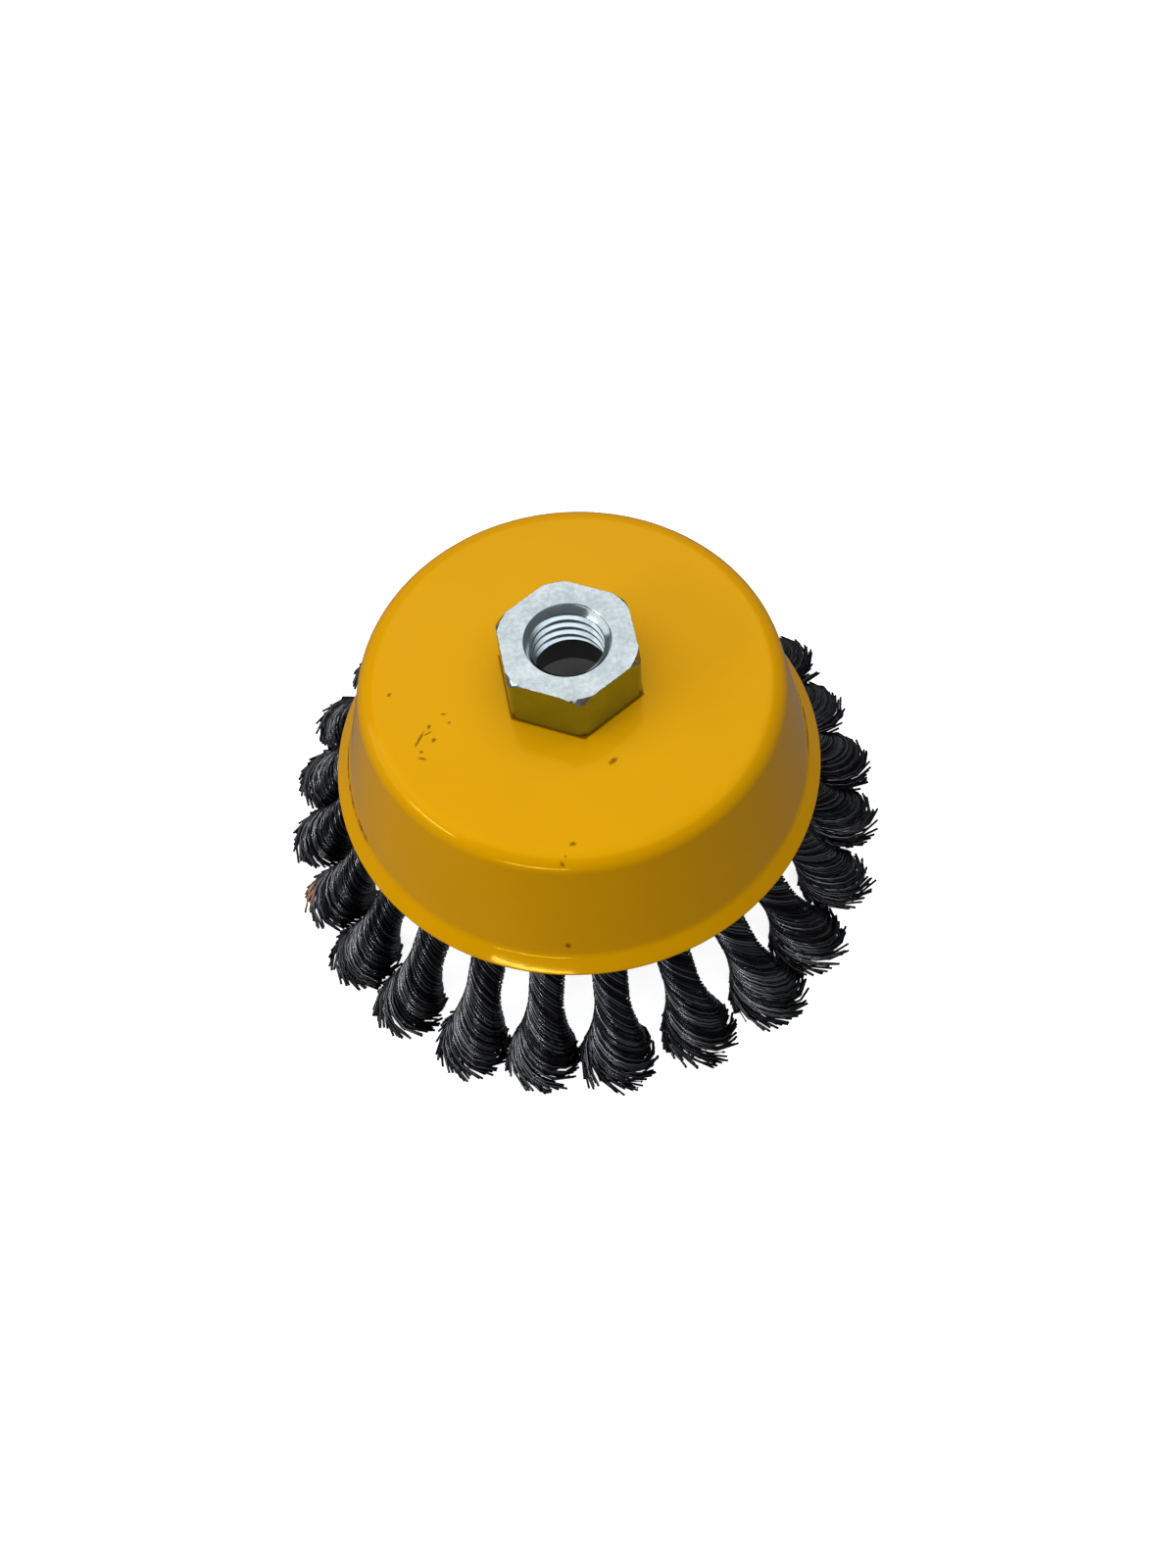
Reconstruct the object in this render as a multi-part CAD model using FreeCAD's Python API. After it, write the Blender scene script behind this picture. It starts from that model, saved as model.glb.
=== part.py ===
# Twisted-knot wire cup brush for an angle grinder, standing on its wire tips.
# Origin: on the spindle axis, in the plane of the wire tips. +Z runs up along the spindle axis to the nut.
# Lengths are in millimetres and angles in degrees.

import FreeCAD, Part
import math
import os

from FreeCAD import Vector

# Arbor nut: a hexagon on the cup, threaded for the spindle, with a thin spigot that is rolled over inside
nut_sides = 6
nut_across_flats = 24.5
nut_height = 11.6
nut_corner_circle = 26.0      # circle that the turned chamfer leaves on the top face
nut_chamfer_angle = 30.0
nut_turn = 3.0                # how far the hexagon is turned from the ring of knots
thread_bore = 13.39           # crest diameter of the 5/8-11 spindle thread
thread_mouth = 16.2           # outer diameter of the countersink above the thread
relief_bore = 16.4            # bore below the thread, clear of the spindle
relief_rise = 0.8             # how far the relief bore reaches up into the hexagon
relief_taper = 1.0            # height of the step from the relief bore to the thread
spigot_wall = 1.8
rolled_rim_width = 2.6        # how far the rolled end stands out past the spigot
rolled_rim_thickness = 1.7

# Pressed sheets
smallest_bend = 1.2           # least outside radius of a bend, in sheet thicknesses

# Outer cup: one pressed sheet
cup_sheet = 1.5
cup_top_diameter = 79.4       # where the flat top and the wall would meet if the edge were sharp
cup_edge_radius = 4.1
cup_throat_diameter = 90.6    # outside of the wall, where the lip starts
cup_throat_depth = 25.6
cup_lip_width = 2.8           # how far the lip flares out past the throat
cup_lip_drop = 3.1
cup_lip_radius = 3.0

# Knot holder: a dished plate whose skirt carries one hole for each knot
holder_sheet = 1.8
holder_skirt = 12.0
holder_bend_radius = 3.0
holder_hole_edge = 4.6        # from the skirt's lower edge up to the hole centres

# Retaining plate: a cone inside the ring of knots that keeps them out against the cup
retainer_sheet = 1.5
retainer_grip = 5.0           # how far its edge reaches down the necks, past the loops
retainer_bend_radius = 2.5

# Knots: bundles of steel wire, looped through the holder, twisted and flared at the tips
knot_count = 24
knot_neck_diameter = 6.5
knot_leg_diameter = 4.0       # each half of the bundle where it loops through the holder
knot_shoulder = 1.0           # how far the top of the neck lies below the middle of the loop's lower bar
knot_spread = 16.3            # angle between the knots and the cup's wall, which they lean out past
trim_drop = 54.2              # from the top of the cup down to the wire tips
flare_length = 12.5
flare_spread = 7.25           # radius of a flared tip, along the radius of the brush
flare_fullness = 0.8          # 1 gives the flare a cosine outline, less makes it fuller
twist_pitch = 19.5            # length of the knot over which a strand goes round once, to the left going up
strand_count = 6
strand_relief = 0.3           # height of a strand ridge above and below the mean surface
flare_step = 2.5              # distance between the sections that shape the flare
neck_step = 3.4               # and between those of the neck
loop_sides = 6                # flats round the looped part

# Clearances
spigot_clearance = 0.1
loop_clearance = 0.3
hole_clearance = 0.5
neck_clearance = 0.3
tip_gap = 0.3                 # between the flared tips of two neighbours

# Levels, up from the wire tips
cup_top_z = trim_drop
holder_top_z = cup_top_z - cup_sheet
retainer_top_z = holder_top_z - holder_sheet
stack_bottom_z = retainer_top_z - retainer_sheet
nut_top_z = cup_top_z + nut_height

spigot_r = relief_bore / 2 + spigot_wall
spigot_hole_r = spigot_r + spigot_clearance
neck_r = knot_neck_diameter / 2
leg_r = knot_leg_diameter / 2


# The knots lean past the wall, and their necks just clear the inner edge of the cup's throat
wall_angle = math.atan2((cup_throat_diameter - cup_top_diameter) / 2, cup_throat_depth)
lean = wall_angle + math.radians(knot_spread)
neck_reach = neck_r + strand_relief + neck_clearance
throat_edge_r = cup_throat_diameter / 2 - cup_sheet / math.cos(wall_angle)
throat_edge_z = cup_top_z - cup_throat_depth
tip_r = throat_edge_r - neck_reach / math.cos(lean) + throat_edge_z * math.tan(lean)


def on_knot(along, aside=0.0):
    """Point (r, z) at a distance up the knot's axis from the tips, and aside from it, outwards."""
    r = tip_r - along * math.sin(lean) + aside * math.cos(lean)
    z = along * math.cos(lean) + aside * math.sin(lean)
    return r, z


# Places along a knot, measured up its axis from the tips
skirt_root = (holder_top_z - holder_sheet / 2) / math.cos(lean)
skirt_edge = skirt_root - holder_skirt
hole_place = skirt_edge + holder_hole_edge
loop_low = skirt_edge - leg_r - hole_clearance
loop_half_width = holder_sheet / 2 + loop_clearance + leg_r
neck_top = loop_low - knot_shoulder


def in_section(r, z):
    return Vector(r, 0, z)


def rounded_path(corners, radii):
    """Edges through the corners (r, z), with a tangent arc of the given radius at each inner corner."""
    edges = []
    start = Vector(*corners[0], 0)
    for before, corner, after, radius in zip(corners, corners[1:], corners[2:], radii):
        here = Vector(*corner, 0)
        back = (Vector(*before, 0) - here).normalize()
        ahead = (Vector(*after, 0) - here).normalize()
        half = back.getAngle(ahead) / 2
        reach = radius / math.tan(half)
        bisector = (back + ahead).normalize()
        middle = here + bisector * (radius / math.sin(half) - radius)
        entry, leave = here + back * reach, here + ahead * reach
        edges.append(Part.LineSegment(in_section(start.x, start.y), in_section(entry.x, entry.y)).toShape())
        edges.append(Part.Arc(in_section(entry.x, entry.y), in_section(middle.x, middle.y),
                              in_section(leave.x, leave.y)).toShape())
        start = leave
    end = corners[-1]
    edges.append(Part.LineSegment(in_section(start.x, start.y), in_section(*end)).toShape())
    return edges


def offset_corners(corners, distance):
    """The path through the corners, moved sideways to its right by the distance."""
    normals = []
    for (r0, z0), (r1, z1) in zip(corners, corners[1:]):
        length = math.hypot(r1 - r0, z1 - z0)
        normals.append(((z1 - z0) / length, -(r1 - r0) / length))
    moved = [(corners[0][0] + normals[0][0] * distance, corners[0][1] + normals[0][1] * distance)]
    for corner, a, b in zip(corners[1:-1], normals, normals[1:]):
        scale = distance / (1 + a[0] * b[0] + a[1] * b[1])
        moved.append((corner[0] + (a[0] + b[0]) * scale, corner[1] + (a[1] + b[1]) * scale))
    moved.append((corners[-1][0] + normals[-1][0] * distance, corners[-1][1] + normals[-1][1] * distance))
    return moved


def pressed_sheet(corners, radii, sheet):
    """Turned sheet: the corners run outwards along its upper side, each bend radius is on that side."""
    under_radii = []
    for (r0, z0), (r1, z1), (r2, z2), radius in zip(corners, corners[1:], corners[2:], radii):
        turns_down = (r1 - r0) * (z2 - z1) - (z1 - z0) * (r2 - r1) < 0
        under_radii.append(radius - sheet if turns_down else radius + sheet)
    under = offset_corners(corners, sheet)
    upper_edges = rounded_path(corners, radii)
    under_edges = rounded_path(under, under_radii)
    inner_end = Part.LineSegment(in_section(*under[0]), in_section(*corners[0])).toShape()
    outer_end = Part.LineSegment(in_section(*corners[-1]), in_section(*under[-1])).toShape()
    edges = upper_edges + [outer_end] + under_edges + [inner_end]
    wire = Part.Wire(Part.__sortEdges__(edges))
    return Part.Face(wire).revolve(Vector(0, 0, 0), Vector(0, 0, 1), 360)


def turned(points):
    """Solid of revolution about the spindle axis from a closed outline of (r, z) points."""
    outline = Part.makePolygon([in_section(*p) for p in points + points[:1]])
    return Part.Face(outline).revolve(Vector(0, 0, 0), Vector(0, 0, 1), 360)


def around(shape, index):
    """Copy of a shape made on the +X side, moved to its place in the ring of knots."""
    placed = shape.copy()
    placed.rotate(Vector(0, 0, 0), Vector(0, 0, 1), index * 360.0 / knot_count)
    return placed


def outer_cup():
    top_r = cup_top_diameter / 2
    throat_r = cup_throat_diameter / 2
    corners = [
        (spigot_hole_r, cup_top_z),
        (top_r, cup_top_z),
        (throat_r, throat_edge_z),
        (throat_r + cup_lip_width, throat_edge_z - cup_lip_drop),
    ]
    edge_bend = max(cup_edge_radius, cup_sheet * smallest_bend)
    return pressed_sheet(corners, [edge_bend, cup_lip_radius], cup_sheet)


def knot_holder():
    half = holder_sheet / 2
    root = on_knot(skirt_root)
    edge = on_knot(skirt_edge)
    middle = [(spigot_hole_r, holder_top_z - half), root, edge]
    corners = offset_corners(middle, -half)
    bend = max(holder_bend_radius, holder_sheet * smallest_bend)
    plate = pressed_sheet(corners, [bend], holder_sheet)
    hole_r, hole_z = on_knot(hole_place)
    across = Vector(math.cos(lean), 0, math.sin(lean))
    start = in_section(hole_r, hole_z) - across * holder_sheet
    drill = Part.makeCylinder(leg_r + hole_clearance, 2 * holder_sheet, start, across)
    return plate.cut([around(drill, i) for i in range(knot_count)])


def retaining_plate():
    edge_r, edge_z = on_knot(loop_low - leg_r - retainer_grip, -neck_reach)
    side_r, side_z = on_knot(loop_low, -(loop_half_width + leg_r + neck_clearance))
    flat_r = side_r - (edge_r - side_r) * (retainer_top_z - side_z) / (side_z - edge_z)
    corners = [(spigot_hole_r, retainer_top_z), (flat_r, retainer_top_z), (edge_r, edge_z)]
    bend = max(retainer_bend_radius, retainer_sheet * smallest_bend)
    return pressed_sheet(corners, [bend], retainer_sheet)


def arbor_nut():
    corner_r = nut_across_flats / 2 / math.cos(math.pi / nut_sides)
    face_r = nut_corner_circle / 2
    outline = []
    for i in range(nut_sides):
        a = math.radians(nut_turn) + 2 * math.pi * (i + 0.5) / nut_sides
        outline.append(Vector(corner_r * math.cos(a), corner_r * math.sin(a), cup_top_z))
    prism = Part.Face(Part.makePolygon(outline + outline[:1])).extrude(Vector(0, 0, nut_height))
    chamfer_drop = (corner_r - face_r) * math.tan(math.radians(nut_chamfer_angle))
    blank = turned([(0, cup_top_z), (corner_r, cup_top_z), (corner_r, nut_top_z - chamfer_drop),
                    (face_r, nut_top_z), (0, nut_top_z)])
    hexagon = prism.common(blank)

    rim_r = spigot_r + rolled_rim_width
    rim_low = stack_bottom_z - rolled_rim_thickness
    nose = rolled_rim_thickness / 2
    spigot = turned([(0, cup_top_z), (spigot_r, cup_top_z), (spigot_r, stack_bottom_z),
                     (rim_r, stack_bottom_z), (rim_r, rim_low + nose), (rim_r - nose, rim_low), (0, rim_low)])

    bore_r = thread_bore / 2
    mouth_r = thread_mouth / 2
    relief_r = relief_bore / 2
    relief_z = cup_top_z + relief_rise
    mouth_drop = mouth_r - bore_r
    over = nut_height
    bore = turned([(0, rim_low - over), (relief_r, rim_low - over), (relief_r, relief_z),
                   (bore_r, relief_z + relief_taper), (bore_r, nut_top_z - mouth_drop), (mouth_r, nut_top_z),
                   (mouth_r, nut_top_z + over), (0, nut_top_z + over)])
    return hexagon.fuse(spigot).cut(bore).removeSplitter()


def knot_radius(along):
    """Mean radius of the bundle at a distance up from the tips, along and across the radius of the brush."""
    tip_side = tip_r * math.sin(math.pi / knot_count) - tip_gap / 2 - strand_relief
    rise = min(along / flare_length, 1.0)
    spread = math.cos(rise * math.pi / 2) ** flare_fullness
    shoulder = max(min((neck_top - along) / neck_r, 1.0), 0.0)
    base = leg_r + (neck_r - leg_r) * math.sqrt(shoulder)
    return base + (flare_spread - strand_relief - neck_r) * spread, base + (tip_side - neck_r) * spread


def even_steps(start, end, step):
    """Places from the start up to, but not at, the end, about one step apart."""
    count = max(1, round((end - start) / step))
    return [start + (end - start) * j / count for j in range(count)]


def knot_sections():
    """Rings of points from the tips to the top of the neck. Each pair of points shapes one strand."""
    flare_places = even_steps(0.0, flare_length, flare_step)
    neck_places = even_steps(flare_length, neck_top, neck_step)
    rings = []
    for along in flare_places + neck_places + [neck_top]:
        radial, tangential = knot_radius(along)
        tilt = lean * min(along / flare_length, 1.0)
        turn = -2 * math.pi * along / twist_pitch
        centre_r, centre_z = on_knot(along)
        ring = []
        for i in range(2 * strand_count):
            angle = math.pi * i / strand_count + turn
            ridge = strand_relief if i % 2 else -strand_relief
            x = (radial + ridge) * math.cos(angle)
            y = (tangential + ridge) * math.sin(angle)
            ring.append(Vector(centre_r + x * math.cos(tilt), y, centre_z + x * math.sin(tilt)))
        rings.append(ring)
    return rings


def solid_of(faces):
    """Closed solid from flat faces, each given by its corners."""
    shell = Part.Shell([Part.Face(Part.makePolygon(corners + corners[:1])) for corners in faces])
    shell.sewShape()
    solid = Part.Solid(shell)
    if solid.Volume < 0:
        solid.reverse()
    return solid


def twisted_bundle():
    """The neck and the flared tip: flat facets between the rings, closed by a flat face at each end."""
    rings = knot_sections()
    faces = [rings[0], rings[-1]]
    for low, high in zip(rings, rings[1:]):
        for i in range(len(low)):
            k = (i + 1) % len(low)
            faces.append([low[i], low[k], high[i]])
            faces.append([low[k], high[k], high[i]])
    return solid_of(faces)


def holder_loop():
    """The part of the bundle that passes through the holder's hole and round the edge of its skirt."""
    bend = leg_r
    low, high, half = loop_low, hole_place, loop_half_width
    path = [(low, -half + bend), (low, half - bend), (low + bend, half), (high - bend, half),
            (high, half - bend), (high, -half + bend), (high - bend, -half), (low + bend, -half)]
    count = len(path)
    rings = []
    for i in range(count):
        here = Vector(*on_knot(*path[i]), 0)
        back = (here - Vector(*on_knot(*path[i - 1]), 0)).normalize()
        ahead = (Vector(*on_knot(*path[(i + 1) % count]), 0) - here).normalize()
        mitre = Vector(-back.y - ahead.y, back.x + ahead.x, 0) / (1 + back.dot(ahead))
        ring = []
        for k in range(loop_sides):
            angle = 2 * math.pi * (k + 0.5) / loop_sides
            aside = mitre * (leg_r * math.cos(angle))
            ring.append(Vector(here.x + aside.x, leg_r * math.sin(angle), here.y + aside.y))
        rings.append(ring)
    faces = []
    for low_ring, high_ring in zip(rings, rings[1:] + rings[:1]):
        for i in range(loop_sides):
            k = (i + 1) % loop_sides
            faces.append([low_ring[i], low_ring[k], high_ring[k], high_ring[i]])
    return solid_of(faces)


def wire_knot():
    return twisted_bundle().fuse(holder_loop())


def check(name, shape):
    solids = shape.Solids
    print(f"{name}: {len(solids)} solid, valid {shape.isValid()}, volume {shape.Volume / 1000:.2f} cm3")
    return solids[0] if len(solids) == 1 else Part.makeCompound(solids)


def main():
    os.makedirs("parts", exist_ok=True)
    pieces = {
        "arbor_nut": arbor_nut(),
        "outer_cup": outer_cup(),
        "knot_holder": knot_holder(),
        "retaining_plate": retaining_plate(),
    }
    knot = wire_knot()
    for i in range(knot_count):
        pieces[f"wire_knot_{i + 1:02d}"] = around(knot, i)
    for name, shape in pieces.items():
        check(name, shape).exportStep(f"parts/{name}.step")


main()
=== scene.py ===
# Twisted-knot wire cup brush for an angle grinder, standing on its wire tips with the nut up.
# The sections follow the brush as it is put together.
# Lengths are in millimetres unless a comment says otherwise, times MM where Blender needs metres.
import math
import random

import bmesh
import bpy
from mathutils import Matrix, Vector


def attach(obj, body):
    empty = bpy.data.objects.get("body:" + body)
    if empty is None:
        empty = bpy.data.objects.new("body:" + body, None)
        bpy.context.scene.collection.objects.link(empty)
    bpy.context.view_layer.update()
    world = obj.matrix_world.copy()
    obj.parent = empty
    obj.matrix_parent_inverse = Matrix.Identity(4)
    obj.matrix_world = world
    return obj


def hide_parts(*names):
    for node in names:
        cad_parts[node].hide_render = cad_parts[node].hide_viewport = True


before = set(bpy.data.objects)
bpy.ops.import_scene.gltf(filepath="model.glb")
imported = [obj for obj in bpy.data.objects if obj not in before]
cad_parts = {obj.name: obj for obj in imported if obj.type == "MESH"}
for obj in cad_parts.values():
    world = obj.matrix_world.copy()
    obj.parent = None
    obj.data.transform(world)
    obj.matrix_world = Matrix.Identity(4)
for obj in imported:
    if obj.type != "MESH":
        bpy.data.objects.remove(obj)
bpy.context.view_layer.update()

# ---- Camera ----
# Hand-held above the front of the brush, with a normal lens and a slight roll.
# The photo's ring of knots is turned a little from the CAD's: the camera is turned round instead.
MM = 0.001
cup_top = 54.2
camera_elevation = math.radians(59.56)
camera_roll = math.radians(-5.063)
camera_turn = math.radians(-3.44)
camera_distance = 364.38
camera_aside = 3.238
camera_above = -20.256

back = Vector((0, -math.cos(camera_elevation), math.sin(camera_elevation)))
level = Vector((1, 0, 0))
upright = back.cross(level)
right = level * math.cos(camera_roll) + upright * math.sin(camera_roll)
up = upright * math.cos(camera_roll) - level * math.sin(camera_roll)
place = back * camera_distance + right * camera_aside + up * camera_above + Vector((0, 0, cup_top))
aim = Matrix((right, up, back)).transposed().to_4x4()
bpy.ops.object.camera_add()
camera = bpy.context.object
camera.name = "camera"
camera.data.lens = 45
camera.data.sensor_width = 36
camera.data.clip_start = 10 * MM
camera.matrix_world = Matrix.Rotation(camera_turn, 4, "Z") @ Matrix.Translation(place * MM) @ aim
bpy.context.scene.camera = camera

# ---- Floor and light ----
# A plain table with a faint painted glow, and a painted shadow under the middle of the brush, in a
# soft bright room.
# A window on the left lights the top, and two low, thin strips draw the streaks along the cup's
# edges and along the wires.
floor_size = 4000
# The floor is a painted shadow round the middle point below, out to the first radius; its painted
# glow is full from the second
painted_shadow_middle = (0, 12, 0)
painted_shadow_radius, lit_radius = 30, 40
floor_glow = 0.85


def linear(code):
    """Linear RGBA from an sRGB hex code."""
    shares = [int(code[i:i + 2], 16) / 255 for i in (1, 3, 5)]
    return [s / 12.92 if s <= 0.04045 else ((s + 0.055) / 1.055) ** 2.4 for s in shares] + [1.0]


def add_node(tree, kind, settings=None, inputs=None):
    """Adds a shader node with its settings; an input is a value, or another node's output."""
    node = tree.nodes.new("ShaderNode" + kind)
    for name, value in (settings or {}).items():
        setattr(node, name, value)
    for name, value in (inputs or {}).items():
        if isinstance(value, bpy.types.NodeSocket):
            tree.links.new(value, node.inputs[name])
        else:
            node.inputs[name].default_value = value
    return node


def new_material(name):
    """A material with only a Principled surface: the material, its node tree and the surface."""
    material = bpy.data.materials.new(name)
    material.use_nodes = True
    tree = material.node_tree
    tree.nodes.clear()
    surface = add_node(tree, "BsdfPrincipled")
    add_node(tree, "OutputMaterial", inputs={"Surface": surface.outputs["BSDF"]})
    return material, tree, surface


bpy.ops.object.select_all(action="DESELECT")
bpy.ops.mesh.primitive_plane_add(size=floor_size * MM)
floor = bpy.context.object
floor.name = "floor"

# Opal acrylic, cast matt: an even white that mirrors nothing, with a painted glow that keeps it
# white in the shade between the knots.
# It is grey and does not glow under the middle of the brush: a painted shadow, which keeps the
# bore of the nut dark.
acrylic, tree, surface = new_material("opal_acrylic")
surface.inputs["Roughness"].default_value = 0.8
surface.inputs["Emission Color"].default_value = linear("#FFFFFF")
where = add_node(tree, "TexCoord").outputs["Object"]
reach = add_node(tree, "VectorMath", {"operation": "DISTANCE"}, {
    0: where, 1: Vector(painted_shadow_middle) * MM}).outputs["Value"]
glow = add_node(tree, "MapRange", inputs={
    "Value": reach, "From Min": painted_shadow_radius * MM, "From Max": lit_radius * MM,
    "To Max": floor_glow}).outputs["Result"]
tree.links.new(glow, surface.inputs["Emission Strength"])
# Grey where the floor doesn't glow: painted shadow
shade = add_node(tree, "MixRGB", inputs={
    "Fac": glow, "Color1": linear("#8C8C8A"), "Color2": linear("#FFFFFE")})
tree.links.new(shade.outputs["Color"], surface.inputs["Base Color"])
floor.data.materials.append(acrylic)
# The light that it would throw up on the brush comes from below the horizon of the room instead
floor.visible_diffuse = False
floor.visible_glossy = False

# The room is dim at the sides and brightest overhead, a little towards the back and the right.
# It is measured along the axis below, whose tip is just longer than 1.
bright_axis = (0.06, 0.10, 1.0)
bright_from, bright_to = 0.66, 0.86
dim_strength, bright_strength = 0.2, 2.2
horizon_blend = 0.1
below_horizon = -0.04      # what it loses there

world = bpy.data.worlds.new("bright_room")
world.use_nodes = True
bpy.context.scene.world = world
tree = world.node_tree
room = tree.nodes["Background"]
room.inputs["Color"].default_value = linear("#F4F7FB")
ray = add_node(tree, "TexCoord").outputs["Generated"]
rise = add_node(tree, "VectorMath", {"operation": "DOT_PRODUCT"}, {
    0: ray, 1: bright_axis}).outputs["Value"]
dome = add_node(tree, "MapRange", {"interpolation_type": "SMOOTHSTEP"}, {
    "Value": rise, "From Min": bright_from, "From Max": bright_to,
    "To Min": dim_strength, "To Max": bright_strength})
bounce = add_node(tree, "MapRange", {"interpolation_type": "SMOOTHSTEP"}, {
    "Value": rise, "From Min": horizon_blend, "From Max": -horizon_blend,
    "To Min": 0.0, "To Max": below_horizon})
light = add_node(tree, "Math", {"operation": "ADD"}, {
    0: dome.outputs["Result"], 1: bounce.outputs["Result"]})
tree.links.new(light.outputs["Value"], room.inputs["Strength"])

# Lamps, in degrees, metres and watts: name, azimuth from the front towards the right, elevation,
# distance, width, height, power, colour
lights = [
    ("left_window", -90, 36, 0.9, 0.8, 0.6, 2.1, "#FFFDF8"),
    ("front_strip", -22, 5, 0.8, 0.40, 0.022, 1.3, "#F8FAFF"),
    ("side_strip", -70, 27, 0.8, 0.30, 0.03, 1.1, "#F8FAFF"),
]
for name, azimuth, elevation, distance, width, height, power, colour in lights:
    a, e = math.radians(azimuth) + camera_turn, math.radians(elevation)
    toward = Vector((math.sin(a) * math.cos(e), -math.cos(a) * math.cos(e), math.sin(e)))
    middle = toward * distance + Vector((0, 0, cup_top * MM))
    bpy.ops.object.light_add(type="AREA", location=middle)
    lamp = bpy.context.object
    lamp.name = name
    lamp.rotation_euler = toward.to_track_quat("Z", "Y").to_euler()
    lamp.data.shape = "RECTANGLE"
    lamp.data.size = width
    lamp.data.size_y = height
    lamp.data.energy = power
    lamp.data.color = linear(colour)[:3]
bpy.context.scene.view_settings.view_transform = "Standard"

# ---- Outer cup ----
# One disc of 1.5 mm steel, drawn to a flat top, a tapering wall and a flared lip, and enamelled
# amber yellow. The spigot of the nut goes through its middle and holds it.
cup_outline = [(10.1, cup_top), (39.7, cup_top), (45.3, 28.6), (48.1, 25.5)]
cup_lip_inside = (46.99, 24.49)
cup_sheet = 1.5
cup_segments = 160
cup_shoulder_round, cup_crease_round, cup_lip_round = 3.3, 0.8, 0.5


def turned(name, outline, segments, solid=False):
    """A circle extruded through the outline's (radius, height) points, and closed if solid."""
    (radius, height), *others = outline
    bpy.ops.object.select_all(action="DESELECT")
    bpy.ops.mesh.primitive_circle_add(
        vertices=segments, radius=radius * MM, location=(0, 0, height * MM))
    piece = bpy.context.object
    piece.name = piece.data.name = name
    bpy.ops.object.transform_apply()
    bpy.ops.object.mode_set(mode="EDIT")
    bpy.ops.mesh.select_all(action="SELECT")
    for next_radius, next_height in others:
        step = (0, 0, (next_height - height) * MM)
        scale = next_radius / radius
        bpy.ops.mesh.extrude_edges_move(TRANSFORM_OT_translate={"value": step})
        bpy.ops.transform.resize(value=(scale, scale, 1), center_override=(0, 0, 0))
        radius, height = next_radius, next_height
    bpy.ops.mesh.select_all(action="SELECT")
    if solid:
        bpy.ops.mesh.fill_holes(sides=0)
    bpy.ops.mesh.normals_make_consistent(inside=False)
    bpy.ops.object.mode_set(mode="OBJECT")
    return piece


def round_rings(piece, rings, offset, segments):
    """Bevels the edge rings of a turned piece that lie at the given (radius, height) places."""
    slack = 0.05
    bpy.ops.object.mode_set(mode="EDIT")
    bpy.ops.mesh.select_mode(type="EDGE")
    bpy.ops.mesh.select_all(action="DESELECT")
    mesh = bmesh.from_edit_mesh(piece.data)
    for edge in mesh.edges:
        ends = [(math.hypot(v.co.x, v.co.y) / MM, v.co.z / MM) for v in edge.verts]
        if any(all(math.dist(end, ring) < slack for end in ends) for ring in rings):
            edge.select_set(True)
    bmesh.update_edit_mesh(piece.data)
    bpy.ops.mesh.bevel(offset=offset * MM, segments=segments, profile=0.5, affect="EDGES")
    bpy.ops.object.mode_set(mode="OBJECT")


def finish_modifiers(piece):
    """Applies the piece's modifiers in order."""
    bpy.context.view_layer.objects.active = piece
    for modifier in list(piece.modifiers):
        bpy.ops.object.modifier_apply(modifier=modifier.name)


def smooth(piece, degrees):
    """Smooth shading, except across edges sharper than the angle."""
    bpy.ops.object.select_all(action="DESELECT")
    piece.select_set(True)
    bpy.context.view_layer.objects.active = piece
    bpy.ops.object.shade_smooth_by_angle(angle=math.radians(degrees))


cup = turned("enamelled_cup", cup_outline, cup_segments)
round_rings(cup, [cup_outline[1]], cup_shoulder_round, 9)
round_rings(cup, [cup_outline[2]], cup_crease_round, 5)
wall = cup.modifiers.new("sheet", "SOLIDIFY")
wall.thickness = cup_sheet * MM
wall.offset = -1
wall.use_even_offset = True
finish_modifiers(cup)
round_rings(cup, [cup_outline[3], cup_lip_inside], cup_lip_round, 4)
smooth(cup, 40)

# Enamel, sprayed and baked: a hard gloss with a faint orange peel. It is brown and dull where it
# is chipped, rubbed or greasy, and in the seam round the foot of the nut, where that brown is
# painted shade as well as grease; darkness is the share of that brown.
mottle_size, peel_size, ragged_size, break_size = 16, 2.2, 0.5, 3.0
coat_relief = 0.03
enamel, tree, surface = new_material("baked_enamel")
where = add_node(tree, "TexCoord").outputs["Object"]
mottle = add_node(tree, "TexNoise", inputs={
    "Vector": where, "Scale": 1 / (mottle_size * MM), "Detail": 3})
tint = add_node(tree, "MixRGB", inputs={
    "Fac": mottle.outputs["Fac"], "Color1": linear("#CA8F00"), "Color2": linear("#D19500")})

# Chips and scratches through to the primer, each an oval with ragged edges:
# (place, half length, half width, turn of the length in degrees)
marks = [((-29.2, -9.4, cup_top), 1.5, 0.22, 58), ((-26.6, -10.0, cup_top), 0.42, 0.30, 40),
         ((-27.2, -7.0, cup_top), 0.38, 0.26, 70), ((-29.1, -12.2, cup_top), 0.32, 0.24, 0),
         ((-29.1, -13.6, cup_top), 0.70, 0.20, -20), ((-24.3, -4.7, cup_top), 0.40, 0.18, 0),
         ((-23.4, -6.7, cup_top), 0.26, 0.20, 0), ((-27.6, -8.4, cup_top), 0.80, 0.13, 25),
         ((5.2, -19.7, cup_top), 0.8, 0.42, 35), ((-4.3, -35.5, cup_top), 0.5, 0.36, 0),
         ((-5.9, -37.6, cup_top), 0.22, 0.18, 0), ((-6.6, -38.8, 53.2), 0.60, 0.24, -60),
         ((-7.5, -44.1, 31.4), 0.45, 0.40, 0), ((-33.9, 1.2, cup_top), 0.36, 0.24, 50)]
mark_half_height = 0.6
raggedness = 1.2
chip_outside, chip_inside, chip_darkness = 2.2, 1.3, 0.75
ragged = add_node(tree, "TexNoise", inputs={
    "Vector": where, "Scale": 1 / (ragged_size * MM), "Detail": 2})
nearest = 9.0      # in half lengths or half widths of a mark, farther off than any of them shows
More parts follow.
